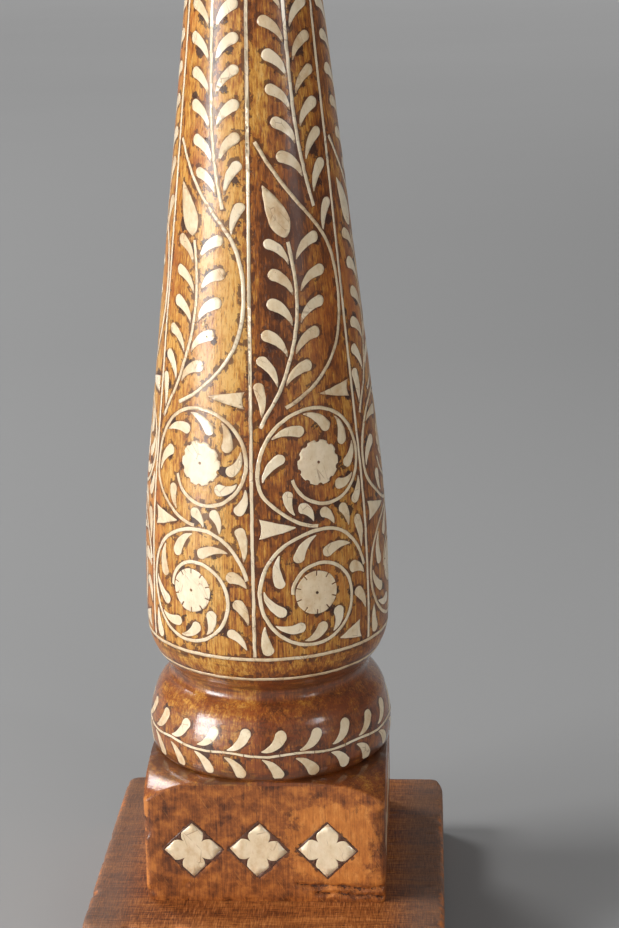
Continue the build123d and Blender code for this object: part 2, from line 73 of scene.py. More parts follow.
# How far the inlay lies below the wood's skin, by kind; flowers and mastic are measured from CAD
SLIP_SINK_MM = 0.17
STRING_SINK_MM = 0.02
FLOWER_RISE_MM = -0.02
MASTIC_SINK_MM = 0.05


# ---- numbers ---------------------------------------------------------------------------------

def lattice(ix, iy, iz, seed):
    """A fixed pseudo-random number from -1 to 1 for each whole-numbered point."""
    mixed = (ix * 374761393 + iy * 668265263 + iz * 1440662683 + seed * 974711) & 0xFFFFFFFF
    mixed = ((mixed ^ (mixed >> 13)) * 1274126177) & 0xFFFFFFFF
    return ((mixed ^ (mixed >> 16)) & 0xFFFFFF) / 0x7FFFFF - 1.0


def rough_noise(points, size, seed):
    """Smooth noise from -1 to 1 at points, with features of a size in millimetres, or of one
    size for each axis."""
    scaled = points / MM / np.array(size, float)
    cell = np.floor(scaled).astype(np.int64)
    part = scaled - cell
    part = part * part * (3 - 2 * part)
    total = np.zeros(len(points))
    for corner in range(8):
        step = np.array([corner & 1, corner >> 1 & 1, corner >> 2 & 1])
        weight = np.prod(np.where(step, part, 1 - part), axis=1)
        at = cell + step
        total += weight * lattice(at[:, 0], at[:, 1], at[:, 2], seed)
    return total


def eased(value, low, high):
    """0 below low, 1 above high and a smooth rise between them; downwards if low is above high."""
    share = np.clip((value - low) / (high - low), 0.0, 1.0)
    return share * share * (3 - 2 * share)


def tint(red, green, blue):
    """A colour given in 8-bit screen values, as the linear colour that shaders take."""
    screen = np.array([red, green, blue]) / 255
    linear = np.where(screen <= 0.04045, screen / 12.92, ((screen + 0.055) / 1.055) ** 2.4)
    return (*linear.tolist(), 1.0)


# ---- meshes ----------------------------------------------------------------------------------

def mesh_points(mesh):
    points = np.empty(len(mesh.vertices) * 3)
    mesh.vertices.foreach_get("co", points)
    return points.reshape(-1, 3)


def set_points(mesh, points):
    mesh.vertices.foreach_set("co", points.astype(np.float32).ravel())
    mesh.update()


def mesh_normals(mesh):
    normals = np.empty(len(mesh.vertices) * 3)
    mesh.vertex_normals.foreach_get("vector", normals)
    return normals.reshape(-1, 3)


def new_piece(name, mesh, material, stands_for):
    """A piece that rides on the stick and stands for CAD nodes."""
    piece = bpy.data.objects.new(name, mesh)
    bpy.context.scene.collection.objects.link(piece)
    mesh.materials.clear()
    mesh.materials.append(material)
    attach(piece, "root")
    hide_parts(*stands_for)
    return piece


def store(mesh, name, values):
    """Keeps one number for each vertex, for the material to read."""
    layer = mesh.attributes.new(name, "FLOAT", "POINT")
    layer.data.foreach_set("value", np.asarray(values, np.float32))


def node_tree_of(names):
    """One search tree over the surfaces of several CAD nodes."""
    points, faces = [], []
    for name in names:
        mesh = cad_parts[name].data
        mesh.calc_loop_triangles()
        start = len(points)
        points += [v.co.copy() for v in mesh.vertices]
        faces += [tuple(start + i for i in t.vertices) for t in mesh.loop_triangles]
    return BVHTree.FromPolygons(points, faces)


def radial_hit(tree, angle, height):
    """Distance from the axis of the surface that is met first from outside, angle to the right
    of the front."""
    way = Vector((math.sin(angle), -math.cos(angle), 0))
    hit = tree.ray_cast(way * OUTSIDE + Vector((0, 0, height)), -way)[0]
    return math.hypot(hit.x, hit.y) if hit else 0.0


def welded(name):
    """A copy of a CAD node's mesh with its faces joined at their shared edges."""
    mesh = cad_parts[name].data.copy()
    shape = bmesh.new()
    shape.from_mesh(mesh)
    bmesh.ops.remove_doubles(shape, verts=shape.verts, dist=1e-6)
    return mesh, shape


def remeshed(name, voxel):
    """A copy of a CAD node as an even grid of small faces."""
    mesh, shape = welded(name)
    shape.to_mesh(mesh)
    shape.free()
    helper = bpy.data.objects.new("helper", mesh)
    bpy.context.scene.collection.objects.link(helper)
    remesh = helper.modifiers.new("even", "REMESH")
    remesh.mode = "VOXEL"
    remesh.voxel_size = voxel
    remesh.use_smooth_shade = True
    bpy.context.view_layer.update()
    result = helper.evaluated_get(bpy.context.evaluated_depsgraph_get())
    even = bpy.data.meshes.new_from_object(result)
    bpy.data.objects.remove(helper)
    return even


# ---- materials -------------------------------------------------------------------------------

class Finish:
    """A material under construction, with a short call for each kind of node."""

    def __init__(self, name, **values):
        self.material = bpy.data.materials.new(name)
        self.material.use_nodes = True
        self.tree = self.material.node_tree
        self.shader = self.tree.nodes["Principled BSDF"]
        for socket, value in values.items():
            self.shader.inputs[socket.replace("_", " ")].default_value = value
        place = self.tree.nodes.new("ShaderNodeTexCoord").outputs["Object"]
        self.place = self.vector("SCALE", place, scale=1 / MM)

    def put(self, socket, value):
        """Links a node's output to a socket, or sets the socket's own value."""
        if isinstance(value, bpy.types.NodeSocket):
            self.tree.links.new(value, socket)
        else:
            socket.default_value = value

    def vector(self, operation, first, second=None, scale=None):
        node = self.tree.nodes.new("ShaderNodeVectorMath")
        node.operation = operation
        self.put(node.inputs[0], first)
        if second is not None:
            self.put(node.inputs[1], second)
        if scale is not None:
            node.inputs["Scale"].default_value = scale
        return node.outputs[0]

    def stretched(self, size):
        """The place on the object, divided by a size in millimetres for each axis."""
        return self.vector("DIVIDE", self.place, size)

    def turned(self, angles, size):
        """The same, after turning the object by angles in degrees."""
        node = self.tree.nodes.new("ShaderNodeVectorRotate")
        node.rotation_type = "EULER_XYZ"
        node.inputs["Rotation"].default_value = [math.radians(a) for a in angles]
        self.put(node.inputs["Vector"], self.place)
        return self.vector("DIVIDE", node.outputs[0], size)

    def lathed(self, across_mm, along_mm):
        """Rings round the axis: the same at every angle, with a size outwards and one upwards."""
        split = self.tree.nodes.new("ShaderNodeSeparateXYZ")
        self.put(split.inputs[0], self.place)
        flat = self.sum("POWER", split.outputs["X"], 2.0)
        flat = self.sum("SQRT", self.sum("ADD", flat, self.sum("POWER", split.outputs["Y"], 2.0)))
        join = self.tree.nodes.new("ShaderNodeCombineXYZ")
        self.put(join.inputs["X"], self.sum("DIVIDE", flat, across_mm))
        self.put(join.inputs["Z"], self.sum("DIVIDE", split.outputs["Z"], along_mm))
        return join.outputs[0]

    def noise(self, vector, detail=2.0, roughness=0.5, warp=0.0):
        node = self.tree.nodes.new("ShaderNodeTexNoise")
        node.inputs["Scale"].default_value = 1.0
        node.inputs["Detail"].default_value = detail
        node.inputs["Roughness"].default_value = roughness
        node.inputs["Distortion"].default_value = warp
        self.put(node.inputs["Vector"], vector)
        return node.outputs["Fac"]

    def cells(self, vector):
        """Distance to the edge of irregular cells."""
        node = self.tree.nodes.new("ShaderNodeTexVoronoi")
        node.feature = "DISTANCE_TO_EDGE"
        node.inputs["Scale"].default_value = 1.0
        self.put(node.inputs["Vector"], vector)
        return node.outputs["Distance"]

    def waves(self, vector, warp=0.0, warp_scale=1.0):
        node = self.tree.nodes.new("ShaderNodeTexWave")
        node.bands_direction = "X"
        node.inputs["Scale"].default_value = 1.0
        node.inputs["Distortion"].default_value = warp
        node.inputs["Detail"].default_value = 2.0
        node.inputs["Detail Scale"].default_value = warp_scale
        self.put(node.inputs["Vector"], vector)
        return node.outputs["Fac"]

    def stored(self, name):
        node = self.tree.nodes.new("ShaderNodeAttribute")
        node.attribute_name = name
        return node.outputs["Fac"]

    def part_of(self, axis):
        node = self.tree.nodes.new("ShaderNodeSeparateXYZ")
        self.put(node.inputs[0], self.place)
        return node.outputs[axis]

    def island(self):
        return self.tree.nodes.new("ShaderNodeNewGeometry").outputs["Random Per Island"]

    def sum(self, operation, first, second=0.0, third=None):
        node = self.tree.nodes.new("ShaderNodeMath")
        node.operation = operation
        self.put(node.inputs[0], first)
        self.put(node.inputs[1], second)
        if third is not None:
            self.put(node.inputs[2], third)
        return node.outputs[0]

    def step(self, value, low, high, start=0.0, end=1.0):
        """start below low, end above high, and a smooth change between them."""
        node = self.tree.nodes.new("ShaderNodeMapRange")
        node.interpolation_type = "SMOOTHSTEP"
        for socket, number in (("From Min", low), ("From Max", high), ("To Min", start), ("To Max", end)):
            self.put(node.inputs[socket], number)
        self.put(node.inputs["Value"], value)
        return node.outputs["Result"]

    def ramp(self, value, stops):
        node = self.tree.nodes.new("ShaderNodeValToRGB")
        elements = node.color_ramp.elements
        while len(elements) < len(stops):
            elements.new(0.5)
        for element, (place, colour) in zip(elements, stops):
            element.position = place
            element.color = colour
        self.put(node.inputs["Fac"], value)
        return node.outputs["Color"]

    def mix(self, share, first, second):
        node = self.tree.nodes.new("ShaderNodeMix")
        node.data_type = "RGBA"
        self.put(node.inputs["Factor"], share)
        self.put(node.inputs["A"], first)
        self.put(node.inputs["B"], second)
        return node.outputs["Result"]

    def bump(self, height, depth_mm, under=None):
        """A surface normal from a height of 0 to 1 that stands for depth_mm."""
        node = self.tree.nodes.new("ShaderNodeBump")
        node.inputs["Distance"].default_value = depth_mm * MM
        self.put(node.inputs["Height"], height)
        if under is not None:
            self.put(node.inputs["Normal"], under)
        return node.outputs["Normal"]

    def done(self, **sockets):
        for socket, value in sockets.items():
            self.put(self.shader.inputs[socket.replace("_", " ")], value)
        return self.material


def lacquered_wood():
    """The column: golden to brown wood under worn lacquer, dark filler round the bone, and the
    drier, filed and stained faces of its block, with painted shade on the side away from the lamps and on the
    block's right-hand corners."""
    f = Finish("column_wood", Coat_Roughness=0.09, Coat_IOR=1.5, Coat_Tint=(1.0, 0.97, 0.92, 1.0))
    near, filler_and_painted_shade, stain_and_painted_shading = f.stored("near"), f.stored("filler_and_painted_shade"), f.stored("stain_and_painted_shading")
    block, bare, wear = f.stored("block"), f.stored("bare"), f.stored("wear")
    grime, gloss = f.stored("grime"), f.stored("gloss")

    figure = f.noise(f.stretched((8.0, 8.0, 60.0)), 3.0, 0.55, 0.6)
    fibre = f.noise(f.stretched((0.5, 0.5, 14.0)), 4.0, 0.62)
    fine = f.noise(f.stretched((0.2, 0.2, 3.0)), 3.0, 0.6)
    mottle = f.noise(f.stretched((2.6, 2.6, 4.5)), 5.0, 0.68)
    rings = f.waves(f.turned((0, 0, 24), (5.4, 40.0, 190.0)), 14.0, 0.8)
    pores = f.step(f.noise(f.stretched((0.34, 0.34, 3.6)), 2.0, 0.5), 0.61, 0.70)
    smears = f.noise(f.stretched((9.0, 9.0, 1.0)), 5.0, 0.65)

    # The stain attribute holds real stains and the painted shading of the side away from the lamps.
    tone = f.sum("SUBTRACT", -1.24, f.sum("MULTIPLY", stain_and_painted_shading, 0.40))
    for share, part in ((1.0, figure), (1.4, fibre), (0.08, rings), (1.14, mottle)):
        tone = f.sum("MULTIPLY_ADD", part, share, tone)
    wood = f.ramp(tone, ((0.12, tint(80, 40, 14)), (0.34, tint(138, 76, 26)), (0.50, tint(162, 96, 34)),
                         (0.64, tint(190, 131, 50)), (0.80, tint(208, 152, 68)), (0.96, tint(220, 172, 94))))
    orange = f.step(f.noise(f.stretched((26.0, 26.0, 40.0)), 2.0), 0.52, 0.7, 0.0, 0.4)
    wood = f.mix(orange, wood, tint(184, 94, 30))
    swirl = f.noise(f.stretched((9.0, 9.0, 2.6)), 4.0, 0.62, 1.6)
    redder = f.sum("MULTIPLY", f.step(gloss, 0.5, 1.0), f.step(swirl, 0.42, 0.58, 0.58, 0.10))
    wood = f.mix(redder, wood, tint(128, 58, 22))
    wood = f.mix(f.sum("MULTIPLY", fine, 0.34), wood, tint(112, 58, 18))
    wood = f.mix(f.sum("MULTIPLY", pores, 0.6), wood, tint(54, 26, 10))
    specks = f.step(f.noise(f.stretched((0.55, 0.55, 0.8)), 3.0, 0.6), 0.66, 0.74)
    wood = f.mix(f.sum("MULTIPLY", specks, 0.6), wood, tint(48, 24, 10))
    grimy = f.sum("ADD", grime, f.sum("MULTIPLY_ADD", smears, 2.3, -1.15))
    dirty = f.step(grimy, 0.35, 0.95, 0.0, 0.85)
    wood = f.mix(dirty, wood, f.mix(smears, tint(40, 18, 8), tint(104, 56, 26)))

    scratches = f.noise(f.turned((0, 32, 0), (0.5, 0.5, 13.0)), 3.0, 0.6)
    scratch = f.step(scratches, 0.60, 0.70)
    block_tone = f.sum("MULTIPLY_ADD", f.noise(f.stretched((6.0, 6.0, 4.6)), 5.0, 0.66), 1.3,
                       f.sum("MULTIPLY_ADD", fibre, 0.7, f.sum("MULTIPLY_ADD", mottle, 0.6, -0.78)))
    block_wood = f.ramp(block_tone, ((0.20, tint(62, 30, 11)), (0.42, tint(118, 62, 23)),
                                     (0.58, tint(150, 84, 34)), (0.85, tint(190, 116, 50))))
    flakes = f.noise(f.stretched((7.0, 7.0, 7.0)), 6.0, 0.72)
    bare_edge = f.sum("ADD", bare, f.sum("MULTIPLY_ADD", flakes, 2.2, -1.1))
    bare_wood = f.ramp(f.sum("MULTIPLY_ADD", mottle, 0.7, f.sum("MULTIPLY", fibre, 0.3)),
                       ((0.3, tint(158, 84, 30)), (0.52, tint(198, 120, 50)), (0.75, tint(228, 160, 86))))
    block_wood = f.mix(f.step(bare_edge, 0.36, 0.66, 0.0, 0.8), block_wood, bare_wood)
    streaks = f.step(f.noise(f.stretched((0.9, 0.9, 9.0)), 4.0, 0.7), 0.56, 0.70)
    block_wood = f.mix(f.sum("MULTIPLY", streaks, 0.5), block_wood, tint(76, 36, 16))
    block_wood = f.mix(f.sum("MULTIPLY", scratch, 0.42), block_wood, tint(196, 128, 62))
    wood = f.mix(block, wood, block_wood)

    rag = f.noise(f.stretched((0.9, 0.9, 0.9)), 4.0, 0.7)
    patch = f.noise(f.stretched((2.8, 2.8, 3.4)), 3.0, 0.6)
    spread = f.step(patch, 0.46, 0.62, 0.16, 1.5)
    edge = f.sum("ADD", near, f.sum("MULTIPLY_ADD", rag, 1.1, -0.55))
    line = f.step(f.sum("SUBTRACT", edge, spread), 0.14, -0.14)
    halo = f.sum("MULTIPLY", f.step(near, 1.7, 0.1), f.step(rag, 0.42, 0.66))
    ragged = f.sum("SUBTRACT", f.sum("MULTIPLY_ADD", rag, 1.7, -0.72), f.sum("MULTIPLY", near, 0.16))
    # The filler attribute also carries the painted shade on the block's right-hand corners.
    blot = f.step(f.sum("ADD", filler_and_painted_shade, ragged), 0.36, 0.56)
    wood = f.mix(f.sum("MULTIPLY", halo, 0.5), wood, tint(86, 40, 15))
    wood = f.mix(f.sum("MULTIPLY", line, 0.8), wood, f.mix(rag, tint(40, 18, 8), tint(96, 48, 20)))
    wood = f.mix(f.sum("MULTIPLY", blot, 0.93), wood, f.mix(rag, tint(22, 10, 6), tint(74, 36, 18)))
    rubbed = f.sum("ADD", wear, f.sum("MULTIPLY_ADD", rag, 0.7, -0.35))
    wood = f.mix(f.step(rubbed, 0.42, 0.62, 0.0, 0.7), wood, tint(206, 128, 58))

    dull = f.noise(f.stretched((7.0, 7.0, 9.0)), 3.0, 0.6)
    dry = f.step(f.sum("MULTIPLY_ADD", dull, 0.7, f.sum("MULTIPLY", block, 0.55)), 0.45, 0.95)
    coat = f.sum("MULTIPLY", f.sum("MULTIPLY_ADD", dry, -0.6, 1.0), gloss)
    rough = f.sum("MULTIPLY_ADD", fibre, 0.16, f.sum("MULTIPLY_ADD", dry, 0.2, 0.34))
    under = f.bump(f.sum("MULTIPLY_ADD", scratch, f.sum("MULTIPLY", block, -1.0), fibre), 0.035)
    under = f.bump(pores, -0.05, under)
    under = f.bump(blot, -0.10, under)
    film = f.bump(f.noise(f.stretched((2.2, 2.2, 3.0)), 3.0, 0.55), 0.055)
    film = f.bump(f.noise(f.stretched((3.2, 3.2, 0.45)), 4.0, 0.7), 0.050, film)
    return f.done(Base_Color=wood, Roughness=rough, Coat_Weight=coat, Normal=under, Coat_Normal=film)


def polished_bone():
    """Bone inlay: ivory with fine pores and cracks, a little stained at random."""
    f = Finish("bone", Coat_Roughness=0.12, Subsurface_Weight=0.12, Subsurface_Radius=(1.0, 0.6, 0.4),
               Subsurface_Scale=0.0012)
    own = f.island()
    cloud = f.noise(f.stretched((3.4, 3.4, 4.6)), 4.0, 0.6)
    grain = f.noise(f.stretched((0.35, 0.35, 2.6)), 3.0, 0.6)
    cream = f.ramp(f.sum("MULTIPLY_ADD", cloud, 0.75, f.sum("MULTIPLY", own, 0.28)),
                   ((0.22, tint(198, 160, 116)), (0.46, tint(224, 200, 164)), (0.70, tint(236, 216, 186)),
                    (0.95, tint(242, 228, 204))))
    cream = f.mix(f.step(grain, 0.56, 0.74, 0.0, 0.32), cream, tint(196, 152, 104))
    cracks = f.step(f.cells(f.turned((12, 30, 8), (3.0, 3.0, 9.0))), 0.035, 0.0)
    cracks = f.sum("MULTIPLY", cracks, f.step(f.noise(f.stretched((7.0, 7.0, 7.0)), 2.0), 0.52, 0.62))
    cream = f.mix(f.sum("MULTIPLY", cracks, 0.55), cream, tint(120, 72, 40))
    specks = f.step(f.noise(f.stretched((0.5, 0.5, 0.5)), 2.0, 0.5), 0.68, 0.76)
    cream = f.mix(f.sum("MULTIPLY", specks, 0.5), cream, tint(112, 66, 34))
    edge = f.step(f.stored("rim"), 0.85, 1.0)
    cream = f.mix(f.sum("MULTIPLY", edge, f.step(cloud, 0.4, 0.62, 0.15, 0.6)), cream, tint(158, 102, 58))
    coat = f.step(cloud, 0.35, 0.7, 0.6, 0.25)
    normal = f.bump(f.sum("SUBTRACT", f.sum("MULTIPLY", grain, 0.4), f.sum("ADD", cracks, specks)), 0.03)
    film = f.bump(f.noise(f.stretched((2.2, 2.2, 3.0)), 3.0, 0.55), 0.02)
    rough = f.step(grain, 0.3, 0.8, 0.3, 0.5)
    return f.done(Base_Color=cream, Roughness=rough, Coat_Weight=coat, Normal=normal, Coat_Normal=film)


def dark_mastic():
    """Lac filler round the flowers: dark brown and crumbly, with paler dust in its hollows."""
    f = Finish("mastic", Coat_Roughness=0.25)
    lumps = f.noise(f.stretched((0.8, 0.8, 0.8)), 5.0, 0.7)
    broad = f.noise(f.stretched((5.0, 5.0, 5.0)), 2.0)
    colour = f.ramp(lumps, ((0.3, tint(34, 19, 13)), (0.52, tint(84, 52, 36)), (0.75, tint(124, 84, 60))))
    colour = f.mix(f.step(broad, 0.45, 0.65, 0.0, 0.7), colour, tint(104, 62, 40))
    rough, coat = f.step(lumps, 0.3, 0.7, 0.7, 0.42), f.step(broad, 0.4, 0.6, 0.1, 0.5)
    return f.done(Base_Color=colour, Roughness=rough, Coat_Weight=coat, Normal=f.bump(lumps, 0.15))


def sawn_board_wood():
    """The board: stained brown with sawing marks across each other, paler on its worn edges, and
    greyed beside the block, partly by dust and partly by a painted sheen."""
    f = Finish("board_wood", Coat_Roughness=0.3)
    wear = f.stored("wear")
    broad = f.noise(f.stretched((60.0, 9.0, 9.0)), 4.0, 0.6, 0.4)
    fibre = f.noise(f.stretched((18.0, 0.5, 0.5)), 4.0, 0.65)
    weave_x = f.noise(f.stretched((0.42, 5.0, 2.4)), 3.0, 0.6)
    weave_y = f.noise(f.stretched((6.0, 0.45, 0.45)), 3.0, 0.6)
    cloth = f.noise(f.stretched((0.55, 0.55, 0.55)), 3.0, 0.6)
    tone = f.sum("MULTIPLY_ADD", broad, 0.9, f.sum("MULTIPLY_ADD", fibre, 0.8, -1.10))
    tone = f.sum("MULTIPLY_ADD", weave_x, 0.9, tone)
    tone = f.sum("MULTIPLY_ADD", weave_y, 0.72, tone)
    colour = f.ramp(tone, ((0.22, tint(68, 34, 15)), (0.42, tint(124, 66, 30)), (0.58, tint(160, 94, 43)),
                           (0.82, tint(198, 128, 68))))
    sawn = f.step(f.noise(f.stretched((9.0, 14.0, 9.0)), 2.0), 0.40, 0.62)
    saw = f.sum("MULTIPLY", f.step(weave_x, 0.55, 0.70), sawn)
    colour = f.mix(f.sum("MULTIPLY", saw, 0.6), colour, tint(198, 128, 80))
    dents = f.step(f.noise(f.stretched((3.2, 0.9, 0.9)), 3.0, 0.6), 0.64, 0.74)
    colour = f.mix(f.sum("MULTIPLY", dents, 0.7), colour, tint(44, 20, 11))
    beside = f.sum("ABSOLUTE", f.part_of("X"))
    # Beside the block the board is greyed: partly dust, partly a painted sheen.
    dust_and_painted_sheen = f.sum("MULTIPLY", f.step(beside, 40.0, 54.0), f.step(cloth, 0.25, 0.7, 0.35, 0.75))
    colour = f.mix(dust_and_painted_sheen, colour, tint(112, 96, 86))
    rag = f.noise(f.stretched((2.4, 2.4, 2.4)), 4.0, 0.7)
    rubbed = f.sum("ADD", wear, f.sum("MULTIPLY_ADD", rag, 0.9, -0.45))
    colour = f.mix(f.step(rubbed, 0.42, 0.68, 0.0, 0.85), colour, tint(196, 116, 58))
    across = f.sum("ADD", f.sum("MULTIPLY", weave_y, 0.4), f.sum("MULTIPLY", cloth, 0.3))
    height = f.sum("ADD", f.sum("MULTIPLY", weave_x, 0.6), across)
    normal = f.bump(dents, -0.12, f.bump(height, 0.16))
    rough, coat = f.step(cloth, 0.3, 0.7, 0.5, 0.7), f.step(broad, 0.45, 0.6, 0.12, 0.0)
    return f.done(Base_Color=colour, Roughness=rough, Coat_Weight=coat, Normal=normal)


def aged_brass():
    """Spun brass: fine rings from the lathe, brown patches and small dark spots."""
    f = Finish("brass", Metallic=1.0)
    rings = f.noise(f.lathed(0.3, 0.3), 3.0, 0.6)
    cloud = f.noise(f.stretched((7.0, 7.0, 5.0)), 5.0, 0.65)
    spots = f.step(f.noise(f.stretched((0.9, 0.9, 0.9)), 3.0, 0.6), 0.64, 0.74)
    colour = f.ramp(cloud, ((0.3, tint(140, 98, 48)), (0.5, tint(196, 150, 82)), (0.72, tint(224, 184, 112))))
    colour = f.mix(f.sum("MULTIPLY", spots, 0.7), colour, tint(84, 54, 28))
    rough = f.sum("MULTIPLY_ADD", f.step(cloud, 0.7, 0.35), 0.24, f.sum("MULTIPLY_ADD", rings, 0.18, 0.14))
    return f.done(Base_Color=colour, Roughness=rough, Normal=f.bump(rings, 0.03, f.bump(cloud, 0.05)))


def dull_steel():
    """Zinc-plated screws with a little rust."""
    f = Finish("steel", Metallic=1.0)
    cloud = f.noise(f.stretched((1.2, 1.2, 1.2)), 4.0, 0.65)
    brushed = f.noise(f.stretched((0.12, 2.5, 2.5)), 2.0)
    colour = f.ramp(cloud, ((0.35, tint(108, 78, 56)), (0.5, tint(150, 148, 142)),
                            (0.7, tint(186, 184, 178))))
    rough = f.sum("MULTIPLY_ADD", cloud, 0.3, f.sum("MULTIPLY_ADD", brushed, 0.2, 0.2))
    return f.done(Base_Color=colour, Roughness=rough, Normal=f.bump(cloud, 0.03))


def green_felt():
    """Pressed wool felt."""
    f = Finish("felt", Sheen_Weight=0.5, Sheen_Roughness=0.6)
    fuzz = f.noise(f.stretched((0.28, 0.28, 0.28)), 4.0, 0.8)
    hairs = f.noise(f.turned((0, 0, 40), (0.1, 1.6, 0.6)), 3.0, 0.7, 1.0)
    colour = f.ramp(f.sum("MULTIPLY_ADD", fuzz, 0.6, f.sum("MULTIPLY", hairs, 0.4)),
                    ((0.3, tint(34, 50, 38)), (0.55, tint(58, 84, 62)), (0.8, tint(96, 122, 92))))
    return f.done(Base_Color=colour, Roughness=f.step(fuzz, 0.2, 0.8, 0.85, 1.0), Normal=f.bump(fuzz, 0.25))


# ---- the column ------------------------------------------------------------------------------

BONE_SLIPS = [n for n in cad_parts
              if n.startswith(("panel_", "band_")) and "rosettes" not in n and "strings" not in n]
BONE_SET_IN = [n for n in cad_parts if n.endswith(("rosettes", "strings", "ring_string"))]
FLOWERS = [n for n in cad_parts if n.startswith("block_flowers")]
MASTICS = [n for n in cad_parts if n.startswith("block_mastic")]
RINGS = [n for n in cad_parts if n.endswith("ring_string")]

# Cracks in the front of the block: the (x, z) of their corners, width and depth, in millimetres
FRONT_CRACKS = (
    (((11.0, 6.4), (18.0, 5.6), (26.0, 6.0), (33.0, 4.8), (40.0, 5.4)), 1.0, 1.1),
    (((18.0, 3.0), (25.0, 3.4), (31.0, 2.2), (36.0, 2.8), (40.0, 1.8)), 1.0, 1.2),
    (((26.0, 5.8), (28.0, 4.4), (30.0, 2.4)), 0.8, 0.9),
    (((-27.2, 0.0), (-26.4, 3.2), (-27.0, 6.0), (-26.6, 9.4)), 0.7, 0.7),
    (((37.6, 6.0), (38.2, 13.0), (37.4, 21.0), (38.4, 30.0)), 0.8, 0.5),
)
# Worn and stained places of the turning: angle right of the front in degrees, height in
# millimetres, their reach in each of these, strength
STAINS = (
    (10.0, 205.0, 11.0, 44.0, 0.9), (30.0, 238.0, 9.0, 30.0, 0.55), (16.0, 140.0, 22.0, 14.0, 0.35),
    (6.0, 275.0, 9.0, 20.0, -0.8), (44.0, 120.0, 12.0, 40.0, -0.3), (-20.0, 215.0, 16.0, 60.0, -0.45),
    (-26.0, 120.0, 14.0, 26.0, -0.5), (120.0, 200.0, 20.0, 60.0, 0.6), (175.0, 140.0, 26.0, 30.0, 0.5),
    (-130.0, 240.0, 20.0, 50.0, 0.5), (-100.0, 120.0, 20.0, 20.0, 0.4),
)

# Dirt that has gathered round the turning: height and how far up and down it reaches, both in
# millimetres, and strength
GRIME = (
    (75.0, 10.0, 0.66), (46.0, 6.0, 0.85), (86.0, 7.0, 0.42), (61.0, 14.0, 0.40), (336.0, 5.0, 0.6),
    (322.0, 4.0, 0.5),
)
# Bare patches of the block, in millimetres: the front's middle (x, z) and reach, and the reach
# of those on the other sides
FRONT_BARE_PATCH = (23.0, 22.0, 17.0, 17.0)
SIDE_BARE_REACH = (15.0, 13.0)


def wobble(points):
    """How far the turned surface lies out of true, in metres."""
    return (0.10 * rough_noise(points, 17.0, 1) + 0.05 * rough_noise(points, (5.0, 5.0, 8.0), 2)) * MM


def outwards(points):
    flat = points * [1, 1, 0]
    return flat / np.maximum(np.linalg.norm(flat, axis=1), 1e-9)[:, None]


def column_grid():
    """Heights, angles and radii of the column's surface before it is inlaid, as the CAD has it,
    and where the CAD sinks a pocket for the inlay."""
    tree = node_tree_of(["column"])
    low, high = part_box("column")
    rows = np.concatenate([np.linspace(start, end, round((end - start) / step), endpoint=False)
                           for start, end, step in COLUMN_ROWS_MM])
    heights = low.z + np.append(rows, COLUMN_ROWS_MM[-1][1]) * MM
    angles = np.arange(COLUMN_AROUND) * 2 * math.pi / COLUMN_AROUND
    safe = np.clip(heights, low.z + 0.05 * MM, high.z - 0.05 * MM)
    hits = np.array([[radial_hit(tree, a, z) for a in angles] for z in safe])
    square = np.array([radial_hit(tree, a, low.z + BLOCK_CLEAR_MM * MM) for a in angles])
    turned = hits.max(axis=1)
    for name in RINGS:
        foot, top = (corner.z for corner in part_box(name))
        inside = (heights > foot - RING_MARGIN_MM * MM) & (heights < top + RING_MARGIN_MM * MM)
        turned[inside] = np.interp(heights[inside], heights[~inside], turned[~inside])
    radii = np.repeat(turned[:, None], COLUMN_AROUND, axis=1)
    in_block = heights <= low.z + BLOCK_TOP_MM * MM
    radii[in_block] = np.minimum(radii[in_block], square)
    return heights, angles, radii, (radii - hits) > POCKET_MM * MM


def along(places, line):
    """Distance of each place (x, z) from a line of straight runs."""
    best = np.full(len(places), 1e9)
    for start, end in zip(line, line[1:]):
        start, run = np.array(start), np.subtract(end, start)
        share = np.clip((places - start) @ run / (run @ run), 0, 1)
        best = np.minimum(best, np.linalg.norm(places - start - share[:, None] * run, axis=1))
    return best


def faces_of_block(points):
    """For each side of the block in turn, the points' places (x, z) on it in millimetres, and how
    far each point stands out from the axis on that side."""
    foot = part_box("column")[0].z
    for quarter in range(4):
        turn = math.radians(90 * quarter)
        across = (points[:, 0] * math.cos(turn) + points[:, 1] * math.sin(turn)) / MM
        out = (points[:, 0] * math.sin(turn) - points[:, 1] * math.cos(turn)) / MM
        yield quarter, np.stack([across, (points[:, 2] - foot) / MM], 1), out


def block_cracks(quarter):
    """Cracks on one side of the block: its front has its own, the others have a few by chance."""
    if quarter == 0:
        return FRONT_CRACKS
    cracks = []
    for _ in range(5):
        x, z = chance.uniform(-34, 30), chance.uniform(0.8, 9.0)
        rise = chance.uniform(-0.25, 0.25, 4)
        line = tuple((x + 3.2 * i, z + r * 2.6) for i, r in enumerate(rise))
        cracks.append((line, 0.8, chance.uniform(0.5, 1.1)))
    x = chance.uniform(-30, 30)
    cracks.append((((x, 0.0), (x + 0.6, 3.5), (x - 0.3, 8.0)), 0.7, 0.7))
    return cracks


def leaf_blots(name, share):
    """Dark filler beside the leaves of a node, of which a share has some: a place, a size in
    millimetres and a strength for each blot."""
    mesh, shape = welded(name)
    blots = []
    left = set(shape.verts)
    while left:
        group, edge = [], [left.pop()]
        while edge:
            vert = edge.pop()
            group.append(vert.co[:])
            for link in vert.link_edges:
                other = link.other_vert(vert)
                if other in left:
                    left.remove(other)
                    edge.append(other)
        blots += blots_of_leaf(np.array(group), share)
    shape.free()
    bpy.data.meshes.remove(mesh)
    return blots


